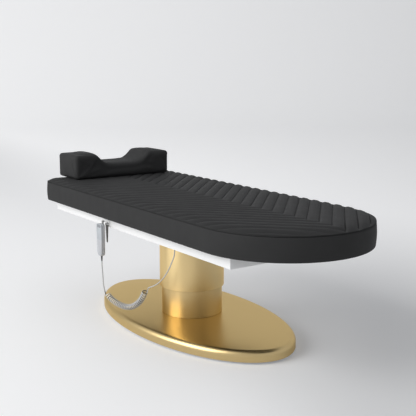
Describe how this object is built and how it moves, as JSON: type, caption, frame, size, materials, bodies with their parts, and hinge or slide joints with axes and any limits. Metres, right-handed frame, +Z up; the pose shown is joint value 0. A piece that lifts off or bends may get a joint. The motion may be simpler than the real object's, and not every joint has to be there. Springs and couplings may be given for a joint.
{
  "type": "electric treatment bed",
  "caption": "Height-adjustable treatment bed: V-quilted pad with a rounded foot end, one telescopic column on an oval base, corded handset and loose neck pillow.",
  "frame": {"origin": "on the floor, under the middle of the bed's length and width", "axes": "+Z up, +X along the bed towards its rounded foot end, -Y towards the side with the handset"},
  "size_m": [1.912, 0.75, 0.7578],
  "materials": {
    "satin_gold": "satin champagne gold, brushed",
    "white_paint": "satin powder coat",
    "black_leather": "matte synthetic leather",
    "board": "plywood with a black lining",
    "zinc_steel": "zinc plated",
    "drawn_aluminium": "drawn",
    "nylon": "natural nylon",
    "dark_plastic": "fine texture",
    "grey_plastic": "fine texture",
    "indicator": "clear green",
    "cord": "smooth PVC",
    "rubber": "matte"
  },
  "bodies": {
    "base": {"base_cover": "satin_gold", "base_plate": "zinc_steel", "base_foot_1": "rubber", "base_foot_2": "rubber", "base_foot_3": "rubber", "base_foot_4": "rubber", "column_foot": "zinc_steel", "foot_bolt_1": "zinc_steel", "foot_bolt_2": "zinc_steel", "foot_bolt_3": "zinc_steel", "foot_bolt_4": "zinc_steel", "lower_sleeve": "satin_gold", "guide_outer_head": "zinc_steel", "guide_outer_foot": "zinc_steel", "guide_bush_fixed_head": "nylon", "guide_bush_fixed_foot": "nylon", "lower_pin": "zinc_steel", "gearbox": "dark_plastic", "actuator_motor": "zinc_steel", "actuator_tube": "drawn_aluminium", "actuator_bush": "nylon"},
    "screw": {"lead_screw": "zinc_steel"},
    "platform": {"upper_sleeve": "satin_gold", "sleeve_wiper": "dark_plastic", "guide_inner_head": "zinc_steel", "guide_inner_foot": "zinc_steel", "guide_bush_moving_head": "nylon", "guide_bush_moving_foot": "nylon", "drive_nut": "nylon", "push_tube": "drawn_aluminium", "upper_pin": "zinc_steel", "lift_bridge": "zinc_steel", "carrier_plate": "zinc_steel", "carrier_bolt_1": "zinc_steel", "carrier_bolt_2": "zinc_steel", "carrier_bolt_3": "zinc_steel", "carrier_bolt_4": "zinc_steel", "bed_frame": "white_paint", "deck_board": "board", "mattress": "black_leather", "control_box": "dark_plastic", "handset_socket": "dark_plastic", "handset_plug": "dark_plastic", "mains_inlet": "dark_plastic", "handset_hanger": "white_paint", "hanger_screw_1": "zinc_steel", "hanger_screw_2": "zinc_steel", "hanger_tongue": "dark_plastic", "cable_upper_lead": "cord", "cable_curl": "cord", "cable_lower_lead": "cord"},
    "pillow": {"pillow": "black_leather"},
    "handset": {"handset_body": "grey_plastic", "handset_fascia": "grey_plastic", "handset_indicator": "indicator", "handset_clip": "dark_plastic", "handset_strain_relief": "dark_plastic"},
    "button_up": {"button_up": "dark_plastic"},
    "button_down": {"button_down": "dark_plastic"}
  },
  "joints": [
    {"name": "lift_slide", "type": "slide", "parent": "base", "child": "platform", "axis": [0, 0, 1], "range_m": [-0.12, 0.08], "deforming": ["cable_upper_lead", "cable_curl", "cable_lower_lead"]},
    {"name": "screw_spin", "type": "hinge", "parent": "base", "child": "screw", "pos_m": [-0.077, 0, 0.1], "axis": [0, 0, 1], "range_deg": [-3600, 2400]},
    {"name": "pillow_lift", "type": "slide", "parent": "platform", "child": "pillow", "axis": [0, 0, 1], "range_m": [0, 0.15]},
    {"name": "handset_lift", "type": "slide", "parent": "platform", "child": "handset", "axis": [0, 0, 1], "range_m": [0, 0.0125]},
    {"name": "button_up_press", "type": "slide", "parent": "handset", "child": "button_up", "axis": [0, 1, 0], "range_m": [0, 0.0012], "stiffness_N_per_m": 800, "springref_m": -0.0008},
    {"name": "button_down_press", "type": "slide", "parent": "handset", "child": "button_down", "axis": [0, 1, 0], "range_m": [0, 0.0012], "stiffness_N_per_m": 800, "springref_m": -0.0008}
  ],
  "couplings": [
    {"joint": "screw_spin", "follows": "lift_slide", "rad_per_m": 523.6}
  ]
}
